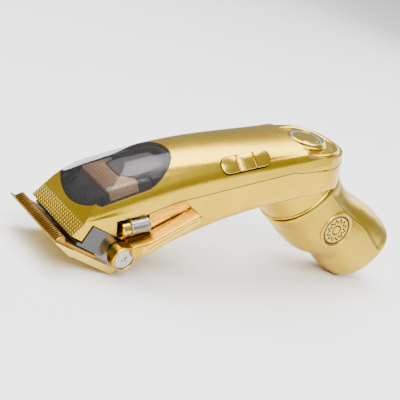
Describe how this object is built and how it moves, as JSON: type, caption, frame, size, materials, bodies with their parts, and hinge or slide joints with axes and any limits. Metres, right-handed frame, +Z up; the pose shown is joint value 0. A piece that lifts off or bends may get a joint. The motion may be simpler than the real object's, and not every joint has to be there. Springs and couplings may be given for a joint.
{
  "type": "hair clipper",
  "caption": "Cordless hair clipper with a slanted pistol grip, toothed cutting blades under a clear windowed nose, a side taper lever, and push buttons.",
  "frame": {"origin": "on the table under the middle of the bounding box, with the clipper stood on its blade heel and the low corner of its grip", "axes": "+X runs from the cutting blade to the grip, +Y to the side without the taper lever, +Z up"},
  "size_m": [0.2154, 0.051, 0.0732],
  "materials": {
    "gold_shell": "satin pale gold anodised metal",
    "gold_trim": "polished pale gold metal",
    "lever_gold": "brushed orange gold metal",
    "blade_gold": "pale gold coated steel, ground flat",
    "blade_bronze": "bronze coated steel, ground flat",
    "gloss_black": "glossy black moulding",
    "smoked_lens": "clear smoked window",
    "gasket_black": "matt black seal",
    "deck_dark": "matt dark moulding",
    "screw_dark": "blackened steel",
    "strap_copper": "satin copper",
    "guard_tint": "translucent tan moulding",
    "steel_bright": "bright turned steel",
    "steel_plain": "plain steel",
    "ring_grey": "translucent blue grey light guide",
    "badge_gold": "pale gold metal with dark filled lines",
    "coil_copper": "lacquered copper winding",
    "bearing_brass": "sintered bronze",
    "magnet_grey": "pressed magnet",
    "cell_wrap": "cell in a printed sleeve, drawn plain",
    "board_green": "circuit board",
    "socket_black": "matt black moulding"
  },
  "bodies": {
    "housing": {"upper_shell": "gold_shell", "lower_shell": "gold_shell", "nose_plate": "gold_trim", "housing_screws": "screw_dark", "window_lens": "smoked_lens", "window_gasket": "gasket_black", "motor_deck": "deck_dark", "deck_screws": "screw_dark", "copper_strap": "strap_copper", "sensor_guard": "guard_tint", "fixed_blade": "blade_gold", "blade_screws": "screw_dark", "blade_bracket": "steel_plain", "tension_spring": "steel_plain", "chassis": "socket_black", "detent_stem": "gold_trim", "detent_sleeve": "steel_bright", "motor_can": "steel_plain", "motor_coil": "coil_copper", "front_bearing": "bearing_brass", "rear_bearing": "bearing_brass", "battery_cell": "cell_wrap", "main_board": "board_green", "switch_body": "socket_black", "switch_board": "board_green", "button_bezel": "gold_trim", "ring_light": "ring_grey", "charge_socket": "socket_black", "rocker_pin": "steel_plain", "button_spring": "steel_plain"},
    "power_button": {"power_button": "gold_trim"},
    "speed_rocker": {"speed_rocker": "gold_trim"},
    "taper_lever": {"taper_lever": "lever_gold", "lever_shaft": "steel_plain", "lever_screw": "steel_bright"},
    "blade_carriage": {"blade_carriage": "gloss_black"},
    "moving_blade": {"moving_blade": "blade_bronze", "drive_yoke": "socket_black"},
    "rotor": {"rotor_shaft": "steel_plain", "rotor_magnet": "magnet_grey", "eccentric_hub": "bearing_brass"},
    "release_button": {"release_button": "steel_bright"},
    "grip": {"grip_left": "gold_shell", "grip_right": "gold_shell", "grip_socket": "socket_black", "badge_left": "badge_gold", "badge_right": "badge_gold"}
  },
  "joints": [
    {"name": "power_press", "type": "slide", "parent": "housing", "child": "power_button", "axis": [0.1235, 0, -0.9923], "range_m": [0, 0.0007], "stiffness_N_per_m": 1500},
    {"name": "speed_rock", "type": "hinge", "parent": "housing", "child": "speed_rocker", "pos_m": [-0.01774, -0.01182, 0.05848], "axis": [-0.2231, 0.7314, 0.6445], "range_deg": [-3, 3], "stiffness_Nm_per_rad": 0.3},
    {"name": "taper_turn", "type": "hinge", "parent": "housing", "child": "taper_lever", "pos_m": [-0.07258, -0.0159, 0.0107], "axis": [0, 1, 0], "range_deg": [0, 40]},
    {"name": "carriage_slide", "type": "slide", "parent": "housing", "child": "blade_carriage", "axis": [0.9516, 0, -0.3075], "range_m": [0, 0.00148]},
    {"name": "blade_stroke", "type": "slide", "parent": "blade_carriage", "child": "moving_blade", "axis": [0, 1, 0], "range_m": [-0.0012, 0.0012]},
    {"name": "rotor_spin", "type": "hinge", "parent": "housing", "child": "rotor", "pos_m": [-0.07108, 0.0025, 0.02609], "axis": [0.945, 0, 0.3271], "continuous": true},
    {"name": "release_press", "type": "slide", "parent": "housing", "child": "release_button", "axis": [-0.3271, 0, 0.945], "range_m": [0, 0.001], "stiffness_N_per_m": 900, "deforming": ["button_spring"]},
    {"name": "grip_pull", "type": "slide", "parent": "housing", "child": "grip", "axis": [0.789, 0, -0.6144], "range_m": [0, 0.03]}
  ],
  "couplings": [
    {"joint": "taper_turn", "follows": "carriage_slide", "rad_per_m": 472.14}
  ]
}
